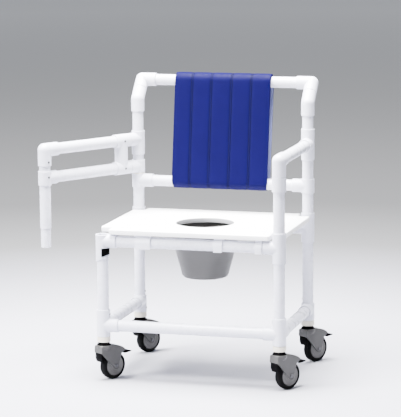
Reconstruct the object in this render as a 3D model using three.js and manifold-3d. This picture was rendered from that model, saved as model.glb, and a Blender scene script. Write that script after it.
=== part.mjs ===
// A wheeled commode chair built from round plastic tube and socket fittings.
// It has a board seat with a round opening, a pail that slides under it, a padded back cover,
// a left arm that lifts out of its socket and swings aside, and four braked casters.
// Millimetres. +Z is up, the chair's front faces -Y, and Z = 0 is the floor.
import * as THREE from "three";
import { mergeVertices } from "three/addons/utils/BufferGeometryUtils.js";
import Module from "manifold-3d";

const wasm = await Module();
wasm.setup();

// Driving dimensions: the frame.
const FRAME_WIDTH = 640; // between the axes of the left and right legs
const FRAME_DEPTH = 434.8; // between the axes of the front and rear legs
const TUBE_RADIUS = 20;
const TUBE_WALL = 4;
const SLEEVE_RADIUS = 24; // outside of every socket fitting
const GAP = 0.3; // clearance between pieces that touch
const LONG_REACH = 57; // from a fitting's centre to its socket mouth
const SEAT_REACH = 54;
const SHORT_REACH = 26;
const TUBE_STOP = 21.5; // where a tube ends, from the axis of the post it meets

// Driving dimensions: levels above the floor.
const CASTER_TOP = 141;
const PLUG_TOP = 160;
const BASE_LEVEL = 200;
const SEAT_LEVEL = 502.5;
const BACK_RAIL_LEVEL = 655;
const RIGHT_ARM_LEVEL = 806;
const ARM_UPPER_LEVEL = 808;
const ARM_LOWER_LEVEL = 707.6;
const BEND_LEVEL = 956;
const HANDLE_LEVEL = 1021.4;
const HANDLE_SETBACK = 61;

// Driving dimensions: the swinging arm.
const ARM_OPENING = 32.67; // degrees from closed
const SPIGOT_RADIUS = 18;
const SPIGOT_LENGTH = 69;
const STIFFENER_DISTANCE = 82; // from the hinge axis
const HINGE_BORE_RADIUS = 20.5;
const BEARING_THICKNESS = 2;

// Driving dimensions: seat, pail, cover and casters.
const BOARD_BOTTOM = 530;
const BOARD_THICKNESS = 18;
const BOARD_EDGE = 3; // rounding of the board's edges
const SEAT_HOLE_RADIUS = 103.5;
const SEAT_HOLE_Y = -20;
const PAIL_RIM_Z = 526.5;
const PAIL_RIM_RADIUS = 132.5;
const GUIDE_LENGTH = 340;
const COVER_LEFT = -187;
const COVER_RIGHT = 174;
const WHEEL_RADIUS = 50;
const WHEEL_WIDTH = 32;
const WHEEL_TRAIL = 38; // from the swivel axis back to the axle
const CASTER_HEADING = 56.5; // degrees from +X to the way the casters trail

// The whole chair is moved so that the box around it, open arm included, is centred on the origin.
const BOX_CENTRE_X = -91.175;
const BOX_CENTRE_Y = 35.315;

const SIDES = 16;
const LEFT = -FRAME_WIDTH / 2;
const RIGHT = FRAME_WIDTH / 2;
const FRONT = -FRAME_DEPTH / 2;
const REAR = FRAME_DEPTH / 2;
const UP = new THREE.Vector3(0, 0, 1);
const DOWN = new THREE.Vector3(0, 0, -1);
const TO_LEFT = new THREE.Vector3(-1, 0, 0);
const TO_RIGHT = new THREE.Vector3(1, 0, 0);
const TO_FRONT = new THREE.Vector3(0, -1, 0);
const TO_REAR = new THREE.Vector3(0, 1, 0);
const BORE_RADIUS = TUBE_RADIUS + GAP;

const material = (color, roughness, metalness = 0) =>
  new THREE.MeshStandardMaterial({ color, roughness, metalness });
const WHITE_TUBE = material(0xe9e9e6, 0.35);
const WHITE_FITTING = material(0xe4e3df, 0.4);
const WHITE_BOARD = material(0xf6f6f4, 0.3);
const BLUE_VINYL = material(0x2c3a96, 0.45);
const GREY_PAIL = material(0x8f9192, 0.5);
const GREY_CASTER = material(0x9c9ea1, 0.45);
const BLACK_PLASTIC = material(0x18181a, 0.45);
const BLACK_RUBBER = material(0x202022, 0.7);

// ---- Solids ----

// A geometry as a solid: vertices shared, triangles that collapsed on an axis left out.
function solid(geometry, matrix = new THREE.Matrix4()) {
  const bare = geometry.clone();
  bare.deleteAttribute("normal");
  bare.deleteAttribute("uv");
  const welded = mergeVertices(bare, 1e-4);
  welded.applyMatrix4(matrix);
  const corners = welded.index.array;
  const kept = [];
  for (let i = 0; i < corners.length; i += 3) {
    const [a, b, c] = [corners[i], corners[i + 1], corners[i + 2]];
    if (a !== b && b !== c && c !== a) kept.push(a, b, c);
  }
  const vertProperties = new Float32Array(welded.attributes.position.array);
  const build = (triVerts) =>
    new wasm.Manifold(new wasm.Mesh({ numProp: 3, vertProperties, triVerts }));
  const made = build(new Uint32Array(kept));
  return made.volume() < 0 ? build(new Uint32Array(kept.reverse())) : made;
}

const join = (solids) => solids.reduce((whole, piece) => whole.add(piece));
const cut = (body, tools) => tools.reduce((left, tool) => left.subtract(tool), body);
const point = (x, y, z) => new THREE.Vector3(x, y, z);
const along = (start, direction, distance) => start.clone().addScaledVector(direction, distance);

// A round rod between two points.
function rod(from, to, radius, sides = SIDES, farRadius = radius) {
  const span = to.clone().sub(from);
  const length = span.length();
  const turn = new THREE.Quaternion().setFromUnitVectors(TO_REAR, span.normalize());
  const middle = from.clone().lerp(to, 0.5);
  const matrix = new THREE.Matrix4().compose(middle, turn, point(1, 1, 1));
  return solid(new THREE.CylinderGeometry(farRadius, radius, length, sides), matrix);
}

// A round tube, open at both ends.
function tube(from, to, radius = TUBE_RADIUS, wall = TUBE_WALL) {
  const direction = to.clone().sub(from).normalize();
  const hollow = rod(along(from, direction, -1), along(to, direction, 1), radius - wall);
  return rod(from, to, radius).subtract(hollow);
}

function box(low, high) {
  const size = high.clone().sub(low);
  const middle = low.clone().lerp(high, 0.5);
  const matrix = new THREE.Matrix4().makeTranslation(middle.x, middle.y, middle.z);
  return solid(new THREE.BoxGeometry(size.x, size.y, size.z), matrix);
}

// A flat outline thickened: its x and y lie along the given directions, from the given start.
function plate(outline, thickness, start, outlineX, outlineY, options = {}) {
  const shape = outline instanceof THREE.Shape ? outline : new THREE.Shape(outline);
  const settings = { depth: thickness, bevelEnabled: false, curveSegments: 12, ...options };
  const normal = outlineX.clone().cross(outlineY);
  const matrix = new THREE.Matrix4().makeBasis(outlineX, outlineY, normal).setPosition(start);
  return solid(new THREE.ExtrudeGeometry(shape, settings), matrix);
}

// A profile of [radius, height] points turned about an axis that starts at the given point.
function turned(profile, start, axis, sides = SIDES) {
  const points = profile.map(([radius, height]) => new THREE.Vector2(radius, height));
  const turn = new THREE.Quaternion().setFromUnitVectors(TO_REAR, axis);
  const matrix = new THREE.Matrix4().compose(start, turn, point(1, 1, 1));
  return solid(new THREE.LatheGeometry(points, sides), matrix);
}

// A socket fitting: a sleeve along each arm, bored for the tubes that enter it.
// An arm reaches from the centre, and its bore runs from boreFrom to boreTo.
function fitting(centre, arms, { rounded = false, radius = SLEEVE_RADIUS } = {}) {
  const overlap = rounded ? 0 : 2;
  const sleeves = arms.map(({ to, reach }) =>
    rod(along(centre, to, -overlap), along(centre, to, reach), radius),
  );
  if (rounded) {
    const matrix = new THREE.Matrix4().makeTranslation(centre.x, centre.y, centre.z);
    sleeves.push(solid(new THREE.SphereGeometry(radius, SIDES, SIDES / 2), matrix));
  }
  const bores = arms.map(({ to, reach, boreFrom = -overlap, boreTo = reach + 1, bore = BORE_RADIUS }) =>
    rod(along(centre, to, boreFrom), along(centre, to, boreTo), bore),
  );
  return cut(join(sleeves), bores);
}

// ---- The scene graph ----

const chair = new THREE.Group();
chair.position.set(-BOX_CENTRE_X, -BOX_CENTRE_Y, 0);

function add(name, made, finish, group = chair) {
  const { numProp, vertProperties, triVerts } = made.getMesh();
  const geometry = new THREE.BufferGeometry();
  const positions = new THREE.InterleavedBuffer(new Float32Array(vertProperties), numProp);
  geometry.setAttribute("position", new THREE.InterleavedBufferAttribute(positions, 3, 0));
  geometry.setIndex(new THREE.BufferAttribute(new Uint32Array(triVerts), 1));
  const flat = geometry.toNonIndexed();
  flat.computeVertexNormals();
  const mesh = new THREE.Mesh(flat, finish);
  mesh.name = name;
  group.add(mesh);
}

// ---- Legs and posts ----

const LEG_BOTTOM = PLUG_TOP + GAP;
const SPIGOT_BOTTOM = SEAT_LEVEL + SLEEVE_RADIUS + GAP - SPIGOT_LENGTH;
const LEFT_LEG_TOP = SPIGOT_BOTTOM - 5;
const legs = {
  left_front_leg: [LEFT, FRONT, LEFT_LEG_TOP],
  right_front_leg: [RIGHT, FRONT, RIGHT_ARM_LEVEL - TUBE_STOP],
  left_rear_post: [LEFT, REAR, BEND_LEVEL - TUBE_STOP],
  right_rear_post: [RIGHT, REAR, BEND_LEVEL - TUBE_STOP],
};
for (const [name, [x, y, top]] of Object.entries(legs)) {
  add(name, tube(point(x, y, LEG_BOTTOM), point(x, y, top)), WHITE_TUBE);
}

// ---- Base fittings, each closed below by the bored plug that holds a caster's stem ----

const STEM_BORE_RADIUS = 6.6;
function baseFitting(x, y, top, sockets) {
  const centre = point(x, y, BASE_LEVEL);
  const arms = [
    { to: UP, reach: top - BASE_LEVEL },
    { to: DOWN, reach: BASE_LEVEL - CASTER_TOP, boreTo: BASE_LEVEL - PLUG_TOP },
    ...sockets.map((to) => ({ to, reach: LONG_REACH })),
  ];
  const stemBore = rod(point(x, y, CASTER_TOP - 1), point(x, y, PLUG_TOP + 1), STEM_BORE_RADIUS);
  return fitting(centre, arms).subtract(stemBore);
}
const TALL_BASE = BASE_LEVEL + LONG_REACH;
const FLUSH_BASE = BASE_LEVEL + SLEEVE_RADIUS;
add("left_front_base_fitting", baseFitting(LEFT, FRONT, TALL_BASE, [TO_RIGHT, TO_REAR]), WHITE_FITTING);
add("right_front_base_fitting", baseFitting(RIGHT, FRONT, TALL_BASE, [TO_LEFT, TO_REAR]), WHITE_FITTING);
add("left_rear_base_fitting", baseFitting(LEFT, REAR, FLUSH_BASE, [TO_FRONT]), WHITE_FITTING);
add("right_rear_base_fitting", baseFitting(RIGHT, REAR, FLUSH_BASE, [TO_FRONT]), WHITE_FITTING);

// ---- Seat-level and back-rail tees ----

const tees = {
  right_front_seat_tee: [RIGHT, FRONT, SEAT_LEVEL, SEAT_REACH, SEAT_REACH, TO_LEFT],
  left_rear_seat_tee: [LEFT, REAR, SEAT_LEVEL, SEAT_REACH, SEAT_REACH, TO_RIGHT],
  right_rear_seat_tee: [RIGHT, REAR, SEAT_LEVEL, SEAT_REACH, SEAT_REACH, TO_LEFT],
  left_back_rail_tee: [LEFT, REAR, BACK_RAIL_LEVEL, SHORT_REACH, LONG_REACH, TO_RIGHT],
  right_back_rail_tee: [RIGHT, REAR, BACK_RAIL_LEVEL, SHORT_REACH, LONG_REACH, TO_LEFT],
  right_arm_rear_tee: [RIGHT, REAR, RIGHT_ARM_LEVEL, LONG_REACH, LONG_REACH, TO_FRONT],
};
for (const [name, [x, y, level, postReach, branchReach, to]] of Object.entries(tees)) {
  const arms = [
    { to: UP, reach: postReach },
    { to: DOWN, reach: postReach },
    { to, reach: branchReach },
  ];
  add(name, fitting(point(x, y, level), arms), WHITE_FITTING);
}

// ---- Left front corner fitting: an open top for the arm's spigot, and a window for the latch ----

const LATCH_ANGLE = THREE.MathUtils.degToRad(50); // from straight ahead, towards the seat
const LATCH_DIRECTION = point(Math.sin(LATCH_ANGLE), -Math.cos(LATCH_ANGLE), 0);
const LATCH_ACROSS = point(-LATCH_DIRECTION.y, LATCH_DIRECTION.x, 0);
const LATCH_WIDTH = 32;
const LATCH_BOTTOM = 448.5;
const LATCH_TOP = 478.5;
const LATCH_PROUD = 3;
const CORNER_DROP = 74.5; // from the rail's level to the sleeve's lowest point
const SOCKET_FLOOR = SPIGOT_BOTTOM - SEAT_LEVEL - 2; // from the rail's level
const CORNER_SLANT = 21.6; // degrees, the slanted lower end of the sleeve

const LATCH_BLOCK_START = 10; // from the sleeve's axis
const LATCH_BLOCK_END = 40;

// A block as wide as the latch, standing out along the latch's direction.
function latchBlock(clearance) {
  const half = LATCH_WIDTH / 2 + clearance;
  const bottom = LATCH_BOTTOM - clearance;
  const top = LATCH_TOP + clearance;
  const outline = [
    new THREE.Vector2(LATCH_BLOCK_START, bottom),
    new THREE.Vector2(LATCH_BLOCK_END, bottom),
    new THREE.Vector2(LATCH_BLOCK_END, top),
    new THREE.Vector2(LATCH_BLOCK_START, top),
  ];
  const start = point(LEFT, FRONT, 0).addScaledVector(LATCH_ACROSS, half);
  return plate(outline, 2 * half, start, LATCH_DIRECTION, UP);
}

function cornerFitting() {
  const centre = point(LEFT, FRONT, SEAT_LEVEL);
  const arms = [
    { to: UP, reach: SLEEVE_RADIUS, boreFrom: SOCKET_FLOOR, bore: SPIGOT_RADIUS + 2 * GAP },
    { to: DOWN, reach: CORNER_DROP, boreFrom: SEAT_LEVEL - LEFT_LEG_TOP - 2 },
    { to: TO_RIGHT, reach: SEAT_REACH, boreFrom: TUBE_STOP - 0.7 },
  ];
  const slant = THREE.MathUtils.degToRad(CORNER_SLANT);
  const lowest = point(LEFT - SLEEVE_RADIUS, FRONT - 40, SEAT_LEVEL - CORNER_DROP);
  const slope = point(Math.cos(slant), 0, Math.sin(slant));
  const outline = [
    new THREE.Vector2(-40, 0),
    new THREE.Vector2(90, 0),
    new THREE.Vector2(90, -60),
    new THREE.Vector2(-40, -60),
  ];
  const across = point(-Math.sin(slant), 0, Math.cos(slant));
  const wedge = plate(outline, 80, lowest.add(point(0, 80, 0)), slope, across);
  return cut(fitting(centre, arms), [wedge, latchBlock(2 * GAP)]);
}
add("left_front_corner_fitting", cornerFitting(), WHITE_FITTING);

function latchButton() {
  const outer = SLEEVE_RADIUS + LATCH_PROUD;
  const inner = SLEEVE_RADIUS - 1;
  const ring = rod(point(LEFT, FRONT, LATCH_BOTTOM - 5), point(LEFT, FRONT, LATCH_TOP + 5), outer, 48);
  const core = rod(point(LEFT, FRONT, LATCH_BOTTOM - 6), point(LEFT, FRONT, LATCH_TOP + 6), inner, 48);
  return ring.subtract(core).intersect(latchBlock(0));
}
add("latch_button", latchButton(), BLACK_PLASTIC);

// ---- Straight rails ----

const INNER_END = RIGHT - TUBE_STOP;
const crossRails = {
  front_seat_rail: [FRONT, SEAT_LEVEL],
  rear_seat_rail: [REAR, SEAT_LEVEL],
  lower_back_rail: [REAR, BACK_RAIL_LEVEL],
  top_handle_rail: [REAR + HANDLE_SETBACK, HANDLE_LEVEL],
  front_base_rail: [FRONT, BASE_LEVEL],
};
for (const [name, [y, level]] of Object.entries(crossRails)) {
  add(name, tube(point(-INNER_END, y, level), point(INNER_END, y, level)), WHITE_TUBE);
}
const sideRails = {
  left_base_rail: [LEFT, BASE_LEVEL],
  right_base_rail: [RIGHT, BASE_LEVEL],
  right_arm_rail: [RIGHT, RIGHT_ARM_LEVEL],
};
for (const [name, [x, level]] of Object.entries(sideRails)) {
  add(name, tube(point(x, FRONT + TUBE_STOP, level), point(x, REAR - TUBE_STOP, level)), WHITE_TUBE);
}

// ---- Right arm: a sleeve on the post below the front elbow ----

const ELBOW_BORE = TUBE_STOP - 0.7;
const rightElbowArms = [
  { to: DOWN, reach: LONG_REACH, boreFrom: ELBOW_BORE },
  { to: TO_REAR, reach: LONG_REACH, boreFrom: ELBOW_BORE },
];
const rightElbow = fitting(point(RIGHT, FRONT, RIGHT_ARM_LEVEL), rightElbowArms, { rounded: true });
add("right_arm_elbow", rightElbow, WHITE_FITTING);
const COUPLING_TOP = RIGHT_ARM_LEVEL - LONG_REACH - GAP;
const COUPLING_LENGTH = 49;
const COUPLING_RADIUS = 25;
const coupling = tube(
  point(RIGHT, FRONT, COUPLING_TOP - COUPLING_LENGTH),
  point(RIGHT, FRONT, COUPLING_TOP),
  COUPLING_RADIUS,
  COUPLING_RADIUS - BORE_RADIUS,
);
add("right_arm_coupling", coupling, WHITE_FITTING);

// ---- Handle: a bend at the top of each rear post, and an elbow that takes the top rail ----

const lean = point(0, HANDLE_SETBACK, HANDLE_LEVEL - BEND_LEVEL);
const LEAN_LENGTH = lean.length();
lean.normalize();
const BEND_DROP = 46;
const BEND_REACH = LEAN_LENGTH / 2;
const STUB_LENGTH = 20;
const STUB_RADIUS = 19;
const HANDLE_REACH = 55;
for (const [side, x, inward] of [["left", LEFT, TO_RIGHT], ["right", RIGHT, TO_LEFT]]) {
  const bendCentre = point(x, REAR, BEND_LEVEL);
  const elbowCentre = along(bendCentre, lean, LEAN_LENGTH);
  const bendArms = [
    { to: DOWN, reach: BEND_DROP, boreFrom: ELBOW_BORE },
    { to: lean, reach: BEND_REACH, boreFrom: BEND_REACH + 1, boreTo: BEND_REACH + 2 },
  ];
  const stub = rod(
    along(bendCentre, lean, BEND_REACH - 2),
    along(bendCentre, lean, BEND_REACH + STUB_LENGTH),
    STUB_RADIUS,
  );
  add(side + "_handle_bend", fitting(bendCentre, bendArms, { rounded: true }).add(stub), WHITE_FITTING);
  const elbowReach = LEAN_LENGTH - BEND_REACH - GAP;
  const elbowArms = [
    {
      to: lean.clone().negate(),
      reach: elbowReach,
      boreFrom: elbowReach - STUB_LENGTH - 1,
      bore: STUB_RADIUS + GAP,
    },
    { to: inward, reach: HANDLE_REACH, boreFrom: ELBOW_BORE },
  ];
  add(side + "_handle_elbow", fitting(elbowCentre, elbowArms, { rounded: true }), WHITE_FITTING);
}

// ---- Seat board with notched corners and a round opening ----

// A closed outline with each corner rounded, as a list of points.
function roundedOutline(corners, radius) {
  const shape = new THREE.Shape();
  const count = corners.length;
  corners.forEach((corner, i) => {
    const before = corners[(i + count - 1) % count];
    const after = corners[(i + 1) % count];
    const entry = corner.clone().add(before.clone().sub(corner).setLength(radius));
    const exit = corner.clone().add(after.clone().sub(corner).setLength(radius));
    if (i === 0) shape.moveTo(entry.x, entry.y);
    else shape.lineTo(entry.x, entry.y);
    shape.quadraticCurveTo(corner.x, corner.y, exit.x, exit.y);
  });
  return shape.getPoints(3);
}

const BOARD_HALF_WIDTH = 334;
const NOTCH_X = 290;
const BOARD_FRONT = -243;
const BOARD_REAR = 240;
const FRONT_NOTCH_Y = -190;
const REAR_NOTCH_Y = 188;
function seatBoard() {
  const rightHalf = [
    [NOTCH_X, BOARD_FRONT],
    [NOTCH_X, FRONT_NOTCH_Y],
    [BOARD_HALF_WIDTH, FRONT_NOTCH_Y],
    [BOARD_HALF_WIDTH, REAR_NOTCH_Y],
    [NOTCH_X, REAR_NOTCH_Y],
    [NOTCH_X, BOARD_REAR],
  ];
  const leftHalf = rightHalf.map(([x, y]) => [-x, y]).reverse();
  const corners = [...rightHalf, ...leftHalf].map(([x, y]) => new THREE.Vector2(x, y));
  const shape = new THREE.Shape(roundedOutline(corners, 9));
  const opening = new THREE.Path();
  opening.absarc(0, SEAT_HOLE_Y, SEAT_HOLE_RADIUS, 0, 2 * Math.PI, true);
  shape.holes.push(opening);
  const edges = {
    bevelEnabled: true,
    bevelThickness: BOARD_EDGE,
    bevelSize: BOARD_EDGE,
    bevelOffset: -BOARD_EDGE,
    bevelSegments: 1,
    curveSegments: 36,
  };
  const start = point(0, 0, BOARD_BOTTOM + BOARD_EDGE);
  return plate(shape, BOARD_THICKNESS - 2 * BOARD_EDGE, start, TO_RIGHT, TO_REAR, edges);
}
add("seat_board", seatBoard(), WHITE_BOARD);

// ---- Clips under the board that straddle the seat rails ----

const CLIP_WALL = 4.5;
const CLIP_DROP = 20;
function railClip(centreX, width, railY) {
  const inner = TUBE_RADIUS + GAP;
  const outer = TUBE_RADIUS + CLIP_WALL;
  const shape = new THREE.Shape();
  shape.moveTo(-outer, -CLIP_DROP);
  shape.lineTo(-inner, -CLIP_DROP);
  shape.lineTo(-inner, 0);
  shape.absarc(0, 0, inner, Math.PI, 0, true);
  shape.lineTo(inner, -CLIP_DROP);
  shape.lineTo(outer, -CLIP_DROP);
  shape.lineTo(outer, 0);
  shape.absarc(0, 0, outer, 0, Math.PI, false);
  shape.closePath();
  const start = point(centreX - width / 2, railY, SEAT_LEVEL);
  const saddle = plate(shape, width, start, TO_REAR, UP, { curveSegments: 12 });
  const padLow = point(centreX - width / 2, railY - 14, SEAT_LEVEL + TUBE_RADIUS + 1.5);
  const padHigh = point(centreX + width / 2, railY + 14, BOARD_BOTTOM - GAP);
  return saddle.add(box(padLow, padHigh));
}
const clips = {
  left_front_clip: [-165.5, 55, FRONT],
  middle_front_clip: [106, 31, FRONT],
  right_front_clip: [251, 25, FRONT],
  rear_clip: [0, 120, REAR],
};
for (const [name, [x, width, railY]] of Object.entries(clips)) {
  add(name, railClip(x, width, railY), WHITE_FITTING);
}

// ---- Pail and the two channels that its rim slides in ----

const PAIL_WALL = 3;
const PAIL_FLOOR = 354;
const pailProfile = [
  [0, PAIL_FLOOR],
  [75, PAIL_FLOOR],
  [80.5, PAIL_FLOOR + 2],
  [83, PAIL_FLOOR + 7],
  [127.4, PAIL_RIM_Z],
  [PAIL_RIM_RADIUS, PAIL_RIM_Z],
  [PAIL_RIM_RADIUS, PAIL_RIM_Z + PAIL_WALL],
  [125, PAIL_RIM_Z + PAIL_WALL],
  [79.8, PAIL_FLOOR + 7],
  [75, PAIL_FLOOR + PAIL_WALL],
  [0, PAIL_FLOOR + PAIL_WALL],
];
add("pail", turned(pailProfile, point(0, SEAT_HOLE_Y, 0), UP, 28), GREY_PAIL);

const GUIDE_WEB = 134;
const GUIDE_LIP = 128.5;
const GUIDE_FOOT = 152;
const GUIDE_SHEET = 3;
const GUIDE_REAR = 190;
for (const [side, sign] of [["left", -1], ["right", 1]]) {
  const lipZ = PAIL_RIM_Z - GAP - GUIDE_SHEET;
  const footZ = BOARD_BOTTOM - GAP;
  const outline = [
    [GUIDE_LIP, lipZ],
    [GUIDE_WEB + GUIDE_SHEET, lipZ],
    [GUIDE_WEB + GUIDE_SHEET, footZ - GUIDE_SHEET],
    [GUIDE_FOOT, footZ - GUIDE_SHEET],
    [GUIDE_FOOT, footZ],
    [GUIDE_WEB, footZ],
    [GUIDE_WEB, lipZ + GUIDE_SHEET],
    [GUIDE_LIP, lipZ + GUIDE_SHEET],
  ].map(([x, z]) => new THREE.Vector2(sign * x, z));
  const channel = plate(outline, GUIDE_LENGTH, point(0, GUIDE_REAR, 0), TO_RIGHT, UP);
  add(side + "_pail_guide", channel, WHITE_FITTING);
}

// ---- Back cover: a padded sleeve that hangs over the top rail and closes under the lower one ----

function coverLoop(radiusAbove, radiusBelow) {
  const rise = HANDLE_LEVEL - BACK_RAIL_LEVEL;
  const lineAngle = Math.atan2(rise, HANDLE_SETBACK);
  const spread = Math.acos((radiusBelow - radiusAbove) / Math.hypot(rise, HANDLE_SETBACK));
  const path = new THREE.Shape();
  const back = lineAngle - spread;
  const front = lineAngle + spread;
  path.absarc(REAR + HANDLE_SETBACK, HANDLE_LEVEL, radiusAbove, back, front, false);
  path.absarc(REAR, BACK_RAIL_LEVEL, radiusBelow, front, back + 2 * Math.PI, false);
  path.closePath();
  return path;
}
const COVER_INSIDE = TUBE_RADIUS + 0.4;
const coverShape = coverLoop(29.5, 23);
coverShape.holes.push(coverLoop(COVER_INSIDE, COVER_INSIDE));
const coverWidth = COVER_RIGHT - COVER_LEFT;
const cover = plate(coverShape, coverWidth, point(COVER_LEFT, 0, 0), TO_REAR, UP, { curveSegments: 9 });
add("back_cover", cover, BLUE_VINYL);

// ---- Left arm: turns about the left rear post, drawn closed and then swung open ----

const hinge = new THREE.Group();
hinge.position.set(LEFT, REAR, 0);
hinge.rotation.z = -THREE.MathUtils.degToRad(ARM_OPENING);
chair.add(hinge);
const armPoint = (distance, z) => point(0, -distance, z);

const RING_BOTTOM = BACK_RAIL_LEVEL + SHORT_REACH + GAP;
const ringTop = RING_BOTTOM + BEARING_THICKNESS;
const ring = tube(
  armPoint(0, RING_BOTTOM),
  armPoint(0, ringTop),
  SLEEVE_RADIUS,
  SLEEVE_RADIUS - HINGE_BORE_RADIUS,
);
add("arm_bearing_ring", ring, WHITE_FITTING, hinge);

const HINGE_REACH = 49;
function hingeSleeve(level, bottom, top) {
  const arms = [
    { to: UP, reach: top - level, bore: HINGE_BORE_RADIUS },
    { to: DOWN, reach: level - bottom, bore: HINGE_BORE_RADIUS },
    { to: TO_FRONT, reach: HINGE_REACH, boreFrom: TUBE_RADIUS },
  ];
  return fitting(armPoint(0, level), arms);
}
const LOWER_SLEEVE_TOP = 732;
const UPPER_SLEEVE_BOTTOM = 751;
const UPPER_SLEEVE_TOP = 839;
const lowerSleeve = hingeSleeve(ARM_LOWER_LEVEL, ringTop + GAP, LOWER_SLEEVE_TOP);
add("arm_lower_hinge_sleeve", lowerSleeve, WHITE_FITTING, hinge);
const upperSleeve = hingeSleeve(ARM_UPPER_LEVEL, UPPER_SLEEVE_BOTTOM, UPPER_SLEEVE_TOP);
add("arm_upper_hinge_sleeve", upperSleeve, WHITE_FITTING, hinge);

const railStart = TUBE_STOP;
const railEnd = FRAME_DEPTH - TUBE_STOP;
const armRails = { arm_upper_rail: ARM_UPPER_LEVEL, arm_lower_rail: ARM_LOWER_LEVEL };
for (const [name, level] of Object.entries(armRails)) {
  add(name, tube(armPoint(railStart, level), armPoint(railEnd, level)), WHITE_TUBE, hinge);
}

// Two in-line tees, butted at their branches, brace the rails near the hinge.
function stiffener() {
  const near = HINGE_REACH + GAP;
  const far = STIFFENER_DISTANCE + 33;
  const levels = [ARM_LOWER_LEVEL, ARM_UPPER_LEVEL];
  const sleeves = levels.map((level) => rod(armPoint(near, level), armPoint(far, level), SLEEVE_RADIUS));
  const upright = rod(
    armPoint(STIFFENER_DISTANCE, ARM_LOWER_LEVEL),
    armPoint(STIFFENER_DISTANCE, ARM_UPPER_LEVEL),
    SLEEVE_RADIUS,
  );
  const bore = (level) => rod(armPoint(near - 1, level), armPoint(far + 1, level), BORE_RADIUS);
  return cut(join([...sleeves, upright]), levels.map(bore));
}
add("arm_stiffener", stiffener(), WHITE_FITTING, hinge);

const armElbowArms = [
  { to: TO_REAR, reach: LONG_REACH, boreFrom: ELBOW_BORE },
  { to: DOWN, reach: LONG_REACH, boreFrom: ELBOW_BORE },
];
const armElbow = fitting(armPoint(FRAME_DEPTH, ARM_UPPER_LEVEL), armElbowArms, { rounded: true });
add("arm_front_elbow", armElbow, WHITE_FITTING, hinge);
const armTeeArms = [
  { to: UP, reach: SHORT_REACH },
  { to: DOWN, reach: SHORT_REACH },
  { to: TO_REAR, reach: HINGE_REACH },
];
add("arm_front_tee", fitting(armPoint(FRAME_DEPTH, ARM_LOWER_LEVEL), armTeeArms), WHITE_FITTING, hinge);

const SHOULDER = SEAT_LEVEL + SLEEVE_RADIUS + GAP;
const postTube = tube(armPoint(FRAME_DEPTH, SHOULDER), armPoint(FRAME_DEPTH, ARM_UPPER_LEVEL - TUBE_STOP));
const spigot = rod(
  armPoint(FRAME_DEPTH, SHOULDER - SPIGOT_LENGTH),
  armPoint(FRAME_DEPTH, SHOULDER + 34),
  SPIGOT_RADIUS,
);
add("arm_front_post", postTube.add(spigot), WHITE_TUBE, hinge);

// ---- Casters: drawn at the origin trailing along +X, then placed under each leg ----

const FORK_WIDTH = 43;
const FORK_SLOT = 36;
const AXLE_RADIUS = 4.5;
const WHEEL_CLEARANCE = 3.5;
const CASTER_TURN = THREE.MathUtils.degToRad(CASTER_HEADING);

// The fork's side outline: a hood over the wheel and a leg tapering to a round end at the axle.
function forkOutline() {
  const shape = new THREE.Shape();
  const end = 14;
  const foot = [THREE.MathUtils.degToRad(226), THREE.MathUtils.degToRad(372)];
  shape.moveTo(-26, 119);
  shape.lineTo(-26, 102);
  shape.absarc(WHEEL_TRAIL, WHEEL_RADIUS, end, ...foot, false);
  shape.lineTo(64, 92);
  shape.lineTo(80, 101);
  shape.lineTo(80, 107);
  shape.quadraticCurveTo(64, 124, 30, 127);
  shape.lineTo(0, 127);
  shape.closePath();
  return shape;
}

function casterFork() {
  const half = FORK_WIDTH / 2;
  const body = plate(forkOutline(), FORK_WIDTH, point(0, half, 0), TO_RIGHT, UP, { curveSegments: 6 });
  const axle = point(WHEEL_TRAIL, 0, WHEEL_RADIUS);
  const slotHalf = FORK_SLOT / 2;
  const wheelRoom = rod(
    along(axle, TO_FRONT, slotHalf),
    along(axle, TO_REAR, slotHalf),
    WHEEL_RADIUS + WHEEL_CLEARANCE,
  );
  const pedalRoom = box(point(56, -slotHalf, 70), point(90, slotHalf, 105));
  const head = turned(
    [
      [0, 118],
      [27, 118],
      [27, 129],
      [25, 130],
      [17, CASTER_TOP - GAP],
      [6, CASTER_TOP - GAP],
      [6, 175],
      [0, 175],
    ],
    point(0, 0, 0),
    UP,
  );
  const pin = rod(along(axle, TO_FRONT, half + 3), along(axle, TO_REAR, half + 3), AXLE_RADIUS, 12);
  return cut(body, [wheelRoom, pedalRoom]).add(head).add(pin);
}

function casterWheel() {
  const half = WHEEL_WIDTH / 2;
  const bore = AXLE_RADIUS + GAP;
  const profile = [
    [bore, -half],
    [34, -half],
    [44, -half + 1],
    [WHEEL_RADIUS, -half + 8],
    [WHEEL_RADIUS, half - 8],
    [44, half - 1],
    [34, half],
    [bore, half],
    [bore, -half],
  ];
  return turned(profile, point(WHEEL_TRAIL, 0, WHEEL_RADIUS), TO_REAR, 28);
}

function brakePedal() {
  const width = 30;
  const outline = [
    [60, 98],
    [73, 91.5],
    [84, 86.5],
    [114, 90.5],
    [115, 92.5],
    [84, 100],
    [76, 103],
    [60, 103],
  ].map(([x, z]) => new THREE.Vector2(x, z));
  return plate(outline, width, point(0, width / 2, 0), TO_RIGHT, UP);
}

const casterPlaces = {
  left_front: [LEFT, FRONT],
  right_front: [RIGHT, FRONT],
  left_rear: [LEFT, REAR],
  right_rear: [RIGHT, REAR],
};
for (const [place, [x, y]] of Object.entries(casterPlaces)) {
  const caster = new THREE.Group();
  caster.position.set(x, y, 0);
  caster.rotation.z = CASTER_TURN;
  chair.add(caster);
  add(place + "_caster_fork", casterFork(), GREY_CASTER, caster);
  add(place + "_caster_wheel", casterWheel(), BLACK_RUBBER, caster);
  add(place + "_brake_pedal", brakePedal(), BLACK_PLASTIC, caster);
}

const root = new THREE.Group();
root.add(chair);
export default root;
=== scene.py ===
# The looks of a wheeled commode chair: white tube and fittings, board seat, pail, padded blue back
# cover, swinging left arm and four braked casters. Sizes are metres in the row's frame.
import math
import random

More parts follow.
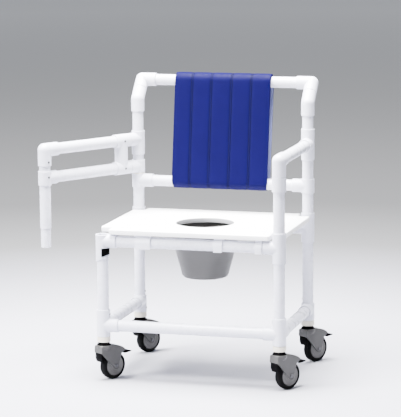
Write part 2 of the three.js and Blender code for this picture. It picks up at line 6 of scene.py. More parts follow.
import bmesh
import bpy
import numpy as np
from mathutils import Matrix, Vector


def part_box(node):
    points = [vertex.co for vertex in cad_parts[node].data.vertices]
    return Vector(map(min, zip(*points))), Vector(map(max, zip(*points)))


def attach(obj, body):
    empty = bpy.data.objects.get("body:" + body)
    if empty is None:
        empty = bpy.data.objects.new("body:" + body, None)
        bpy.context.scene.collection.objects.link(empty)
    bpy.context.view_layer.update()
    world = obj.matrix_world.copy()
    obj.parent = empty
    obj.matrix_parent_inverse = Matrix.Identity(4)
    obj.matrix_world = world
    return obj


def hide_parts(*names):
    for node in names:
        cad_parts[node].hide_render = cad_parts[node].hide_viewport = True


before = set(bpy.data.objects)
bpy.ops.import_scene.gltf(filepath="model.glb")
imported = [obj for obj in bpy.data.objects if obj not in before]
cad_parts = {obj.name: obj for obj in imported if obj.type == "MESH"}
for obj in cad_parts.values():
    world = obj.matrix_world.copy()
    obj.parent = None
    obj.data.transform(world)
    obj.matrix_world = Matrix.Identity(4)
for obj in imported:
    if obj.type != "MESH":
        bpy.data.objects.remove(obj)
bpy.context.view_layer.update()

MM = 0.001
UP = Vector((0, 0, 1))
DOWN = Vector((0, 0, -1))
TO_LEFT = Vector((-1, 0, 0))
TO_RIGHT = Vector((1, 0, 0))
TO_FRONT = Vector((0, -1, 0))
TO_REAR = Vector((0, 1, 0))

TUBE_RADIUS = 20 * MM
TUBE_WALL = 4 * MM
SLEEVE_RADIUS = 24 * MM
BORE_RADIUS = 20.3 * MM
HINGE_BORE_RADIUS = 20.6 * MM
TUBE_SIDES = 64
FITTING_VOXEL = 1.4 * MM
SMOOTH_ANGLE = math.radians(35)
MOULDED_ANGLE = math.radians(60)
ROUNDING_SUPPORT = 0.25 * MM  # how far past a rounding its support point stands

# ---- Camera ----

CAMERA_AT = Vector((2.2336, -7.6508, 1.9006))
CAMERA_AZIMUTH = math.radians(15.867)
CAMERA_ELEVATION = math.radians(9.373)
CAMERA_ROLL = math.radians(-0.443)
CAMERA_LENS = 194.22


def make_camera():
    azimuth, flat = CAMERA_AZIMUTH, math.cos(CAMERA_ELEVATION)
    back = Vector((math.sin(azimuth) * flat, -math.cos(azimuth) * flat, math.sin(CAMERA_ELEVATION)))
    right = Vector((math.cos(azimuth), math.sin(azimuth), 0))
    up = back.cross(right)
    turned_right = right * math.cos(CAMERA_ROLL) + up * math.sin(CAMERA_ROLL)
    turned_up = -right * math.sin(CAMERA_ROLL) + up * math.cos(CAMERA_ROLL)
    data = bpy.data.cameras.new("camera")
    data.lens = CAMERA_LENS
    data.clip_end = 200
    camera = linked("camera", data)
    rotation = Matrix((turned_right, turned_up, back)).transposed()
    camera.matrix_world = Matrix.Translation(CAMERA_AT) @ rotation.to_4x4()
    bpy.context.scene.camera = camera


# ---- Materials ----


class Nodes:
    """A material's node tree, with short ways to add nodes and links."""

    def __init__(self, name):
        self.material = bpy.data.materials.new(name)
        self.material.use_nodes = True
        self.tree = self.material.node_tree
        self.shader = self.tree.nodes["Principled BSDF"]
        self.place = self.add("ShaderNodeTexCoord").outputs["Object"]

    def add(self, kind, **settings):
        node = self.tree.nodes.new(kind)
        for key, value in settings.items():
            setattr(node, key, value)
        return node

    def link(self, source, target):
        self.tree.links.new(source, target)

    def noise(self, scale, detail=3, roughness=0.5):
        node = self.add("ShaderNodeTexNoise")
        node.inputs["Scale"].default_value = scale
        node.inputs["Detail"].default_value = detail
        node.inputs["Roughness"].default_value = roughness
        self.link(self.place, node.inputs["Vector"])
        return node.outputs["Fac"]

    def cells(self, scale):
        node = self.add("ShaderNodeTexVoronoi")
        node.inputs["Scale"].default_value = scale
        self.link(self.place, node.inputs["Vector"])
        return node.outputs["Distance"]

    def spread(self, value, low, high, from_low=0.3, from_high=0.7):
        node = self.add("ShaderNodeMapRange")
        ends = {"From Min": from_low, "From Max": from_high, "To Min": low, "To Max": high}
        for key, end in ends.items():
            node.inputs[key].default_value = end
        self.link(value, node.inputs["Value"])
        return node.outputs["Result"]

    def mix(self, share, first, second):
        node = self.add("ShaderNodeMix", data_type="RGBA")
        self.link(share, node.inputs["Factor"])
        for socket, colour in ((node.inputs["A"], first), (node.inputs["B"], second)):
            if isinstance(colour, tuple):
                socket.default_value = (*colour, 1)
            else:
                self.link(colour, socket)
        return node.outputs["Result"]

    def bump(self, height, distance, strength=1.0, after=None):
        node = self.add("ShaderNodeBump")
        node.inputs["Distance"].default_value = distance
        node.inputs["Strength"].default_value = strength
        self.link(height, node.inputs["Height"])
        if after:
            self.link(after, node.inputs["Normal"])
        return node.outputs["Normal"]

    def finish(self, tone, roughness, normal, specular=0.5):
        """Links the three sources to the shader and gives the finished material."""
        inputs = self.shader.inputs
        self.link(tone, inputs["Base Color"])
        self.link(roughness, inputs["Roughness"])
        self.link(normal, inputs["Normal"])
        inputs["Specular IOR Level"].default_value = specular
        return self.material


def plastic(name, colour, dark, roughness, grain, grain_depth, specks=0.0, specular=0.5):
    """Moulded or extruded plastic: slight tone drift, fine surface grain and worn gloss."""
    n = Nodes(name)
    drift = n.spread(n.noise(9, 4), 0, 1)
    tone = n.mix(drift, dark, colour)
    if specks:
        share = n.spread(n.noise(900, 2), 0, specks, 0.6, 0.75)
        tone = n.mix(share, tone, tuple(0.45 * c for c in colour))
    gloss = n.spread(n.noise(40, 5), roughness - 0.06, roughness + 0.08)
    fine = n.bump(n.noise(grain, 4), grain_depth)
    broad = n.bump(n.noise(60, 2), 0.00012, 0.5, fine)
    return n.finish(tone, gloss, broad, specular)


def vinyl(name, colour, dark, light):
    """Coated cloth with a pressed leather grain, fine creases and a soft sheen."""
    n = Nodes(name)
    drift = n.spread(n.noise(14, 5), 0, 1)
    tone = n.mix(drift, dark, colour)
    worn = n.spread(n.noise(220, 3), 0, 0.25, 0.55, 0.8)
    tone = n.mix(worn, tone, light)
    pebbles = n.bump(n.cells(520), 0.00025, 0.7)
    creases = n.bump(n.noise(130, 6, 0.6), 0.0005, 0.6, pebbles)
    return n.finish(tone, n.spread(n.noise(70, 4), 0.5, 0.66), creases, 0.03)


def rubber(name):
    n = Nodes(name)
    tone = n.mix(n.spread(n.noise(30, 5), 0, 1), (0.0015, 0.0015, 0.0016), (0.003, 0.003, 0.0032))
    dust = n.spread(n.noise(120, 4), 0, 0.3, 0.5, 0.8)
    tone = n.mix(dust, tone, (0.01, 0.0098, 0.0095))
    return n.finish(tone, n.spread(n.noise(80, 4), 0.5, 0.72), n.bump(n.noise(900, 4), 0.00015), 0.03)


def steel(name, colour, roughness):
    n = Nodes(name)
    tone = n.mix(n.spread(n.noise(300, 4), 0, 1), tuple(0.75 * c for c in colour), colour)
    n.shader.inputs["Metallic"].default_value = 1
    gloss = n.spread(n.noise(700, 3), roughness - 0.1, roughness + 0.1)
    return n.finish(tone, gloss, n.bump(n.noise(1500, 2), 0.00004))


WHITE_TUBE = plastic("white_tube", (0.63, 0.635, 0.715), (0.59, 0.595, 0.675), 0.28, 500, 0.00003)
WHITE_FITTING = plastic("white_fitting", (0.61, 0.615, 0.695), (0.565, 0.57, 0.65), 0.34, 700, 0.00006)
CREAM_PLUG = plastic("cream_plug", (0.66, 0.62, 0.52), (0.58, 0.54, 0.45), 0.42, 700, 0.00006)
WHITE_BOARD = plastic("white_board", (0.95, 0.95, 0.96), (0.92, 0.92, 0.93), 0.34, 1100, 0.00008)
# Mid grey for the seat hole's inner wall: painted shade inside the hole.
HOLE_WALL_SHADE = plastic("hole_wall_shade", (0.4, 0.4, 0.42), (0.32, 0.32, 0.34), 0.6, 900, 0.0002)
GREY_PAIL = plastic("grey_pail", (0.074, 0.0725, 0.07), (0.064, 0.0625, 0.06), 0.45, 900, 0.00006, 0.2, 0.3)
GREY_CASTER = plastic("grey_caster", (0.054, 0.053, 0.0515), (0.04, 0.039, 0.038), 0.45, 900, 0.0001, 0, 0.25)
GREY_HUB = plastic("grey_hub", (0.094, 0.092, 0.089), (0.074, 0.072, 0.07), 0.45, 900, 0.0001, 0, 0.25)
BLACK_PLASTIC = plastic(
    "black_plastic", (0.0008, 0.0008, 0.0009), (0.0005, 0.0005, 0.0006), 0.55, 900, 0.0001, 0, 0.02
)
BLUE_VINYL = vinyl("blue_vinyl", (0.0014, 0.0005, 0.0235), (0.0012, 0.0004, 0.021), (0.0019, 0.0009, 0.0275))
# Much darker blue for the seam grooves: painted shade in the grooves.
GROOVE_SHADE_VINYL = vinyl("groove_shade_vinyl", (0.0002, 0.0002, 0.007), (0.0002, 0.0002, 0.006), (0.0003, 0.0003, 0.008))
# Light blue-grey for the inside of the sleeve: partly a lighter lining, partly painted light on faces that
# the cover itself shades.
LINING_WITH_PAINTED_LIGHT = vinyl("lining_with_painted_light", (0.13, 0.14, 0.28), (0.11, 0.12, 0.24), (0.16, 0.17, 0.32))
THREAD = plastic("thread", (0.001, 0.0015, 0.02), (0.0006, 0.001, 0.014), 0.6, 2500, 0.0001, 0, 0.1)
TYRE = rubber("tyre")
SCREW_STEEL = steel("screw_steel", (0.1, 0.1, 0.105), 0.45)

# ---- Mesh building ----


def linked(name, data):
    """A new object in the scene that holds the data."""
    made = bpy.data.objects.new(name, data)
    bpy.context.scene.collection.objects.link(made)
    return made


def evaluated(holder):
    """A new mesh of an object with its modifiers applied."""
    graph = bpy.context.evaluated_depsgraph_get()
    return bpy.data.meshes.new_from_object(holder.evaluated_get(graph))


def as_object(name, mesh, finish, smooth=SMOOTH_ANGLE):
    mesh.shade_smooth()
    mesh.set_sharp_from_angle(angle=smooth)
    mesh.materials.clear()
    mesh.materials.append(finish)
    return linked(name, mesh)


def mesh_of(name, build, weld=1e-7):
    """A mesh filled by build(bmesh), with its normals facing out."""
    mesh = bpy.data.meshes.new(name)
    bm = bmesh.new()
    build(bm)
    bmesh.ops.remove_doubles(bm, verts=bm.verts, dist=weld)
    bmesh.ops.recalc_face_normals(bm, faces=bm.faces)
    bm.to_mesh(mesh)
    bm.free()
    return mesh


def joined(name, parts):
    """One mesh that holds several."""
    mesh = bpy.data.meshes.new(name)
    bm = bmesh.new()
    for part in parts:
        bm.from_mesh(part)
    bm.to_mesh(mesh)
    bm.free()
    return mesh


def mm(points):
    """Points given in millimetres, in metres."""
    return [(x * MM, y * MM) for x, y in points]


def pointing(start, direction):
    """The matrix that puts local Z along direction, from start."""
    turn = UP.rotation_difference(Vector(direction))
    return Matrix.Translation(start) @ turn.to_matrix().to_4x4()


def turn_profile(bm, profile, matrix, sides):
    """Turns (radius, height) points about local Z. The profile closes on itself or ends on the axis."""
    rings = []
    for radius, height in profile:
        if radius < 1e-9:
            rings.append([bm.verts.new(matrix @ Vector((0, 0, height)))])
            continue
        ring = []
        for i in range(sides):
            angle = 2 * math.pi * i / sides
            place = Vector((radius * math.cos(angle), radius * math.sin(angle), height))
            ring.append(bm.verts.new(matrix @ place))
        rings.append(ring)
    closed = len(rings[0]) > 1
    pairs = list(zip(rings, rings[1:])) + ([(rings[-1], rings[0])] if closed else [])
    for lower, upper in pairs:
        for i in range(sides):
            j = (i + 1) % sides
            corners = [lower[i % len(lower)], lower[j % len(lower)]]
            corners += [upper[j % len(upper)], upper[i % len(upper)]]
            face = list(dict.fromkeys(corners))
            if len(face) > 2:
                bm.faces.new(face)


def turned(name, profile, matrix, sides=TUBE_SIDES):
    return mesh_of(name, lambda bm: turn_profile(bm, profile, matrix, sides))


def lathe(name, profile, finish, matrix, sides=TUBE_SIDES):
    return as_object(name, turned(name, profile, matrix, sides), finish)


def corner_arc(start, corner, end, steps):
    """Points of a small arc that rounds a corner."""
    shares = [k / steps for k in range(steps + 1)]
    return [tuple(start * (1 - t) ** 2 + corner * 2 * t * (1 - t) + end * t * t) for t in shares]


def rounded_profile(corners, radius, steps=4):
    """A profile with each inner corner rounded by a small arc, held by a point just outside it."""
    out = [corners[0]]
    for before, corner, after in zip(corners, corners[1:], corners[2:]):
        a, b, c = Vector(before), Vector(corner), Vector(after)
        reach = min(radius, 0.4 * (a - b).length, 0.4 * (c - b).length)
        back, ahead = (a - b).normalized(), (c - b).normalized()
        out.append(tuple(b + back * min(reach + ROUNDING_SUPPORT, 0.48 * (a - b).length)))
        out += corner_arc(b + back * reach, b, b + ahead * reach, steps)
        out.append(tuple(b + ahead * min(reach + ROUNDING_SUPPORT, 0.48 * (c - b).length)))
    out.append(corners[-1])
    return out


def mirrored_profile(half, radius, steps):
    """A closed, rounded profile from one half in millimetres, which starts at the middle of its bore."""
    points = mm(half)
    points += [(r, -h) for r, h in reversed(points)]
    return rounded_profile(points, radius, steps)[:-1]


def curve_mesh(name, lines, closed, **settings):
    """The mesh of a curve through lines of (x, y, z) points."""
    curve = bpy.data.curves.new(name, "CURVE")
    for key, value in settings.items():
        setattr(curve, key, value)
    for line in lines:
        spline = curve.splines.new("POLY")
        spline.points.add(len(line) - 1)
        for point, place in zip(spline.points, line):
            point.co = (*place, 1)
        spline.use_cyclic_u = closed
    holder = linked(name, curve)
    mesh = evaluated(holder)
    bpy.data.objects.remove(holder)
    bpy.data.curves.remove(curve)
    return mesh


def slab_mesh(name, loops, thickness, bevel, matrix):
    """Flat outlines (the first is the edge, the rest are holes) thickened about local Z = 0."""
    settings = {"dimensions": "2D", "fill_mode": "BOTH", "bevel_depth": bevel, "bevel_resolution": 3}
    settings |= {"extrude": thickness / 2 - bevel, "offset": -bevel}
    lines = [[(x, y, 0) for x, y in loop] for loop in loops]
    flat = curve_mesh(name + "_outline", lines, True, **settings)
    mesh = mesh_of(name, lambda bm: bm.from_mesh(flat), 1e-6)
    bpy.data.meshes.remove(flat)
    mesh.transform(matrix)
    return mesh


def slab(name, loops, thickness, bevel, finish, matrix):
    return as_object(name, slab_mesh(name, loops, thickness, bevel, matrix), finish)


def remeshed(name, parts, voxel, finish):
    """Overlapping closed meshes as one moulded body, its inner corners softened."""
    raw = joined(name, parts)
    holder = linked(name, raw)
    grid = holder.modifiers.new("grid", "REMESH")
    grid.mode = "VOXEL"
    grid.voxel_size = voxel
    soften = holder.modifiers.new("soften", "SMOOTH")
    soften.factor = 0.5
    soften.iterations = 2
    mesh = evaluated(holder)
    bpy.data.objects.remove(holder)
    bpy.data.meshes.remove(raw)
    mesh.name = name
    return as_object(name, mesh, finish, MOULDED_ANGLE)


def circle(radius, centre=(0, 0), steps=24, start=0.0, end=2 * math.pi):
    whole = abs(end - start - 2 * math.pi) < 1e-9
    count = steps if whole else steps + 1
    angles = [start + (end - start) * i / steps for i in range(count)]
    return [(centre[0] + radius * math.cos(a), centre[1] + radius * math.sin(a)) for a in angles]


def rounded_loop(corners, radius, steps=6):
    """A closed outline with each corner rounded."""
    out = []
    for i, corner in enumerate(corners):
        a, b, c = Vector(corners[i - 1]), Vector(corner), Vector(corners[(i + 1) % len(corners)])
        reach = min(radius, 0.48 * (a - b).length, 0.48 * (c - b).length)
        start, end = b + (a - b).normalized() * reach, b + (c - b).normalized() * reach
        out += corner_arc(start, b, end, steps)
    return out


def place_piece(piece, body, slot, *nodes):
    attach(piece, body)
    if nodes:
        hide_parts(*nodes)


# ---- Places read from the frame ----

CORNERS = ("left_front", "right_front", "left_rear", "right_rear")


def corners_of(node):
    return np.array([v.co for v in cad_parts[node].data.vertices], float)


def middle_of(node):
    return Vector([(a + b) / 2 for a, b in zip(*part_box(node))])


def level_of(node):
    return middle_of(node).z


def post_centre(node, level):
    return Vector((*middle_of(node).xy, level))


def post_of(corner):
    return corner + ("_leg" if corner.endswith("front") else "_post")


def reach_of(node, centre, direction):
    return float(((corners_of(node) - np.array(centre)) @ np.array(direction)).max())


def axis_of(node):
    """The two ends of a straight tube's centre line."""
    points = corners_of(node)
    centre = points.mean(0)
    direction = np.linalg.svd(points - centre, full_matrices=False)[2][0]
    along = (points - centre) @ direction
    return Vector(centre + direction * along.min()), Vector(centre + direction * along.max())


arm_start, arm_end = axis_of("arm_upper_rail")
hinge_place = post_centre("left_rear_post", 0)
if (arm_start.xy - hinge_place.xy).length > (arm_end.xy - hinge_place.xy).length:
    arm_start, arm_end = arm_end, arm_start
ARM_OUT = (arm_end - arm_start).normalized()
ARM_BACK = -ARM_OUT

# ---- Tubes ----

TUBE_END_TRIM = 3.2 * MM
TUBE_EDGE = 0.6 * MM
UPRIGHTS = ("left_front_leg", "right_front_leg", "left_rear_post", "right_rear_post")
FRAME_RAILS = (
    "front_seat_rail",
    "rear_seat_rail",
    "lower_back_rail",
    "top_handle_rail",
    "front_base_rail",
    "left_base_rail",
    "right_base_rail",
    "right_arm_rail",
)
TUBES = {"frame": UPRIGHTS + FRAME_RAILS, "arm": ("arm_upper_rail", "arm_lower_rail")}


def make_tubes():
    inner = TUBE_RADIUS - TUBE_WALL
    for body, names in TUBES.items():
        for node in names:
            low, high = axis_of(node)
            direction = (high - low).normalized()
            if node not in UPRIGHTS:
                low, high = low + direction * TUBE_END_TRIM, high - direction * TUBE_END_TRIM
            length = (high - low).length
            corners = [(inner, length / 2), (inner, 0), (TUBE_RADIUS, 0)]
            corners += [(TUBE_RADIUS, length), (inner, length), (inner, length / 2)]
            profile = rounded_profile(corners, TUBE_EDGE, 2)[:-1]
            piece = lathe(node + "_fine", profile, WHITE_TUBE, pointing(low, direction))
            place_piece(piece, body, "white_tube", node)


# ---- Socket fittings ----

MOUTH_ROUNDING = 1 * MM
BRANCH_ROOT = 21 * MM  # where a branch leaves its through sleeve, from the centre
SOCKET_ROOT = 20.8 * MM  # where the bore of an elbow's socket starts, from the centre
PLUG_TOP = 160 * MM


def sleeve_through(centre, direction, reach, back_reach, bore=BORE_RADIUS, radius=SLEEVE_RADIUS):
    """A sleeve open at both ends."""
    corners = [(bore, 0), (bore, -back_reach), (radius, -back_reach)]
    corners += [(radius, reach), (bore, reach), (bore, 0)]
    profile = rounded_profile(corners, MOUTH_ROUNDING)[:-1]
    return turned("sleeve", profile, pointing(centre, direction))


def rooted(centre, direction, through, corners):
    """A turned branch whose root is hollowed to sit round the sleeve that it meets."""
    root = [(BRANCH_ROOT * k / 6, BRANCH_ROOT) for k in range(6)]
    profile = root + rounded_profile(corners, MOUTH_ROUNDING)[1:]
    mesh = turned("branch", profile, pointing(centre, direction))
    across = direction.cross(through).normalized()
    for vert in mesh.vertices:
        offset = vert.co - centre
        if offset.dot(direction) < BRANCH_ROOT + MOUTH_ROUNDING:
            beside = min(abs(offset.dot(across)), BRANCH_ROOT)
            vert.co -= direction * (BRANCH_ROOT - math.sqrt(BRANCH_ROOT**2 - beside**2))
    return mesh


def sleeve_branch(centre, direction, through, reach):
    """A sleeve open at its far end, which joins a through sleeve."""
    floor = BRANCH_ROOT + 2 * MM
    corners = [(0, BRANCH_ROOT), (SLEEVE_RADIUS, BRANCH_ROOT), (SLEEVE_RADIUS, reach)]
    corners += [(BORE_RADIUS, reach), (BORE_RADIUS, floor), (0, floor)]
    return rooted(centre, direction, through, corners)


def sleeve_blind(centre, direction, reach, bore_from, bore=BORE_RADIUS):
    """A sleeve whose solid root reaches the fitting's centre."""
    corners = [(0, 0), (SLEEVE_RADIUS, 0), (SLEEVE_RADIUS, reach)]
    corners += [(bore, reach), (bore, bore_from), (0, bore_from)]
    return turned("sleeve", rounded_profile(corners, MOUTH_ROUNDING), pointing(centre, direction))


def solid_rod(length, radius, matrix):
    corners = [(0, 0), (radius, 0), (radius, length), (0, length)]
    return turned("rod", rounded_profile(corners, MOUTH_ROUNDING), matrix)


def ball(centre):
    sizes = {"u_segments": 48, "v_segments": 32, "radius": SLEEVE_RADIUS}
    sizes["matrix"] = Matrix.Translation(centre)
    return mesh_of("ball", lambda bm: bmesh.ops.create_uvsphere(bm, **sizes))


def tee_parts(node, centre, branches, bore):
    up, down = reach_of(node, centre, UP), reach_of(node, centre, DOWN)
    parts = [sleeve_through(centre, UP, up, down, bore)]
    for direction in branches:
        parts.append(sleeve_branch(centre, direction, UP, reach_of(node, centre, direction)))
    return parts


def elbow_parts(node, centre, branches):
    parts = [ball(centre)]
    for direction in branches:
        parts.append(sleeve_blind(centre, direction, reach_of(node, centre, direction), SOCKET_ROOT))
    return parts


def make_fitting(node, parts):
    piece = remeshed(node + "_fine", parts, FITTING_VOXEL, WHITE_FITTING)
    place_piece(piece, "arm" if node.startswith("arm_") else "frame", "white_fitting", node)


TEES = {
    "left_front_base_fitting": ("left_front_leg", "front_base_rail", [TO_RIGHT, TO_REAR]),
    "right_front_base_fitting": ("right_front_leg", "front_base_rail", [TO_LEFT, TO_REAR]),
    "left_rear_base_fitting": ("left_rear_post", "left_base_rail", [TO_FRONT]),
    "right_rear_base_fitting": ("right_rear_post", "right_base_rail", [TO_FRONT]),
    "right_front_seat_tee": ("right_front_leg", "front_seat_rail", [TO_LEFT]),
    "left_rear_seat_tee": ("left_rear_post", "rear_seat_rail", [TO_RIGHT]),
    "right_rear_seat_tee": ("right_rear_post", "rear_seat_rail", [TO_LEFT]),
    "left_back_rail_tee": ("left_rear_post", "lower_back_rail", [TO_RIGHT]),
    "right_back_rail_tee": ("right_rear_post", "lower_back_rail", [TO_LEFT]),
    "right_arm_rear_tee": ("right_rear_post", "right_arm_rail", [TO_FRONT]),
    "arm_lower_hinge_sleeve": ("left_rear_post", "arm_lower_rail", [ARM_OUT]),
    "arm_upper_hinge_sleeve": ("left_rear_post", "arm_upper_rail", [ARM_OUT]),
    "arm_front_tee": ("arm_front_post", "arm_lower_rail", [ARM_BACK]),
}
ELBOWS = {
    "right_arm_elbow": ("right_front_leg", "right_arm_rail", [DOWN, TO_REAR]),
    "arm_front_elbow": ("arm_front_post", "arm_upper_rail", [DOWN, ARM_BACK]),
}


def make_tees():
    for node, (post, rail, branches) in TEES.items():
        centre = post_centre(post, level_of(rail))
        bore = HINGE_BORE_RADIUS if node.endswith("hinge_sleeve") else BORE_RADIUS
        parts = tee_parts(node, centre, branches, bore)
        if node.endswith("base_fitting"):
            up = reach_of(node, centre, UP)
            parts[0] = sleeve_through(centre, UP, up, centre.z - PLUG_TOP)
        make_fitting(node, parts)


def make_elbows():
    for node, (post, rail, branches) in ELBOWS.items():
        make_fitting(node, elbow_parts(node, post_centre(post, level_of(rail)), branches))


BEND_LEVEL = 956 * MM
STUB_RADIUS = 19 * MM
STUB_LENGTH = 18 * MM
STUB_GAP = 0.6 * MM


def make_handle_ends():
    """On each rear post a bend, and an elbow on the bend's stub, which takes the top rail."""
    rail = middle_of("top_handle_rail")
    for side, inward in (("left", TO_RIGHT), ("right", TO_LEFT)):
        bend = post_centre(side + "_rear_post", BEND_LEVEL)
        elbow = Vector((bend.x, rail.y, rail.z))
        lean = (elbow - bend).normalized()
        reach = (elbow - bend).length / 2
        node = side + "_handle_bend"
        parts = elbow_parts(node, bend, [DOWN])
        parts.append(solid_rod(reach, SLEEVE_RADIUS, pointing(bend, lean)))
        parts.append(solid_rod(reach + STUB_LENGTH, STUB_RADIUS, pointing(bend, lean)))
        make_fitting(node, parts)
        node = side + "_handle_elbow"
        mouth = reach - STUB_GAP
        floor = mouth - STUB_LENGTH - 2 * MM
        parts = elbow_parts(node, elbow, [inward])
        parts.append(sleeve_blind(elbow, -lean, mouth, floor, STUB_RADIUS + STUB_GAP))
        make_fitting(node, parts)


ARM_SOCKET_BORE = 18.8 * MM
CORNER_SLOPE = math.tan(math.radians(21.6))
SLOPED_HEIGHT = 3 * MM
WINDOW_WIDTH = 33.6 * MM
WINDOW_DEPTH = 24 * MM
WINDOW_PLACE = 22 * MM  # from the socket's axis
WINDOW_GAP = 0.8 * MM  # above and below the latch


def make_corner_fitting():
    """The fitting with the arm's socket, a sloping foot and a window for the latch."""
    node = "left_front_corner_fitting"
    centre = post_centre("left_front_leg", level_of("front_seat_rail"))
    up, down = reach_of(node, centre, UP), reach_of(node, centre, DOWN)
    upright = sleeve_through(centre, UP, up, down, ARM_SOCKET_BORE)
    for v in upright.vertices:
        if v.co.z < centre.z - down + SLOPED_HEIGHT:
            v.co.z += CORNER_SLOPE * (v.co.x - centre.x + SLEEVE_RADIUS)
    branch = sleeve_branch(centre, TO_RIGHT, UP, reach_of(node, centre, TO_RIGHT))
    piece = remeshed(node + "_fine", [upright, branch], FITTING_VOXEL, WHITE_FITTING)
    low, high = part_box("latch_button")
    middle = (low + high) / 2
    outward = (middle - centre).to_2d().normalized().to_3d()
    facing = Matrix((outward.cross(UP), outward, UP)).transposed().to_4x4()
    window = linked("window", mesh_of("window", lambda bm: bmesh.ops.create_cube(bm, size=1)))
    size = Matrix.Diagonal((WINDOW_WIDTH, WINDOW_DEPTH, high.z - low.z + 2 * WINDOW_GAP, 1))
    place = Vector((centre.x, centre.y, middle.z)) + outward * WINDOW_PLACE
    window.matrix_world = Matrix.Translation(place) @ facing @ size
    cut = piece.modifiers.new("window", "BOOLEAN")
    cut.operation = "DIFFERENCE"
    cut.object = window
    mesh = evaluated(piece)
    piece.modifiers.clear()
    piece.data = mesh
    bpy.data.objects.remove(window)
    place_piece(piece, "frame", "white_fitting", node)
    make_latch(centre, facing, low.z, high.z)


LATCH_INNER = 23 * MM
LATCH_OUTER = 27 * MM
LATCH_HALF_WIDTH = 15.8 * MM
LATCH_SLOPE = 0.3
LATCH_RIBS = 4
RIB_PITCH = 5 * MM
RIB_HEIGHT = 1.6 * MM
RIB_SHARE = 0.75  # of the button's width


def curved_band(inner, outer, inner_spread, outer_spread):
    """The outline of a band curved round the origin, with its middle on +Y."""
    ahead = math.pi / 2
    band = circle(outer, start=ahead - outer_spread, end=ahead + outer_spread)
    return band + circle(inner, start=ahead + inner_spread, end=ahead - inner_spread)


def make_latch(centre, facing, bottom, top):
    """A curved black button with raised grip ribs across it and a sloping lower edge."""
    middle = (bottom + top) / 2
    inside, spread = math.asin(LATCH_HALF_WIDTH / LATCH_INNER), math.asin(LATCH_HALF_WIDTH / LATCH_OUTER)
    button = curved_band(LATCH_INNER, LATCH_OUTER, inside, spread)
    place = Matrix.Translation(Vector((centre.x, centre.y, middle)))
    parts = [slab_mesh("button", [button], top - bottom, 0.8 * MM, place @ facing)]
    rib_spread = RIB_SHARE * spread
    rib = curved_band(LATCH_OUTER - 0.8 * MM, LATCH_OUTER + 0.5 * MM, rib_spread, rib_spread)
    for k in range(LATCH_RIBS):
        lift = Matrix.Translation((0, 0, (k - (LATCH_RIBS - 1) / 2) * RIB_PITCH))
        parts.append(slab_mesh("rib", [rib], RIB_HEIGHT, 0.3 * MM, place @ lift @ facing))
    mesh = joined("latch", parts)
    left_edge = min(v.co.x for v in mesh.vertices)
    for v in mesh.vertices:
        if v.co.z < middle:
            v.co.z += LATCH_SLOPE * (v.co.x - left_edge) * (middle - v.co.z) / (middle - bottom)
    piece = as_object("latch_button_fine", mesh, BLACK_PLASTIC)
    place_piece(piece, "latch", "black_plastic", "latch_button")


def make_coupling_and_ring():
    node = "right_arm_coupling"
    low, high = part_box(node)
    centre = post_centre("right_front_leg", low.z)
    mesh = sleeve_through(centre, UP, high.z - low.z, 0, BORE_RADIUS, (high.x - low.x) / 2)
    place_piece(as_object(node + "_fine", mesh, WHITE_FITTING), "frame", "white_fitting", node)
    node = "arm_bearing_ring"
    low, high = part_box(node)
    inner, outer, height = HINGE_BORE_RADIUS, SLEEVE_RADIUS, high.z - low.z
    corners = [(inner, 0), (outer, 0), (outer, height), (inner, height)]
    at = pointing(post_centre("left_rear_post", low.z), UP)
    place_piece(lathe(node + "_fine", corners, CREAM_PLUG, at), "arm_ring", "white_fitting", node)


STIFFENER_REACH = 82 * MM  # from the hinge axis
RAIL_START = 21.5 * MM  # from the hinge axis


def make_stiffener():
    node = "arm_stiffener"
    foot = Vector((arm_start.x, arm_start.y, 0))
    far, near = reach_of(node, foot, ARM_OUT), reach_of(node, foot, ARM_BACK)
    levels = [level_of("arm_lower_rail"), level_of("arm_upper_rail")]
    half = (levels[1] - levels[0]) / 2 + MM
    corners = [(0, BRANCH_ROOT), (SLEEVE_RADIUS, BRANCH_ROOT), (SLEEVE_RADIUS, half), (0, half)]
    parts = []
    for level, direction in zip(levels, (UP, DOWN)):
        centre = foot + UP * level
        parts.append(sleeve_through(centre, ARM_OUT, far, near))
        centre += ARM_OUT * (STIFFENER_REACH - RAIL_START)
        parts.append(rooted(centre, direction, ARM_OUT, corners))
    make_fitting(node, parts)


SPIGOT_RADIUS = 18 * MM
SPIGOT_LENGTH = 69 * MM
SPIGOT_ROOT = 34 * MM  # how far the spigot runs on inside the tube


def make_arm_post():
    low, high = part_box("arm_front_post")
    inner, floor = TUBE_RADIUS - TUBE_WALL, SPIGOT_LENGTH + SPIGOT_ROOT
    length = high.z - low.z - TUBE_END_TRIM
    corners = [(0, 0), (SPIGOT_RADIUS, 0), (SPIGOT_RADIUS, SPIGOT_LENGTH), (TUBE_RADIUS, SPIGOT_LENGTH)]
    corners += [(TUBE_RADIUS, length), (inner, length), (inner, floor), (0, floor)]
    at = pointing(post_centre("arm_front_post", low.z), UP)
    piece = lathe("arm_front_post_fine", rounded_profile(corners, 1.2 * MM), WHITE_TUBE, at)
    place_piece(piece, "arm", "white_tube", "arm_front_post")


PLUG_RADIUS = SLEEVE_RADIUS - 0.3 * MM
PLUG_GROOVE_RADIUS = PLUG_RADIUS - 1.2 * MM
PLUG_TONGUE_RADIUS = 15.5 * MM
PLUG_TONGUE = 24 * MM
STEM_HOLE = 6.6 * MM


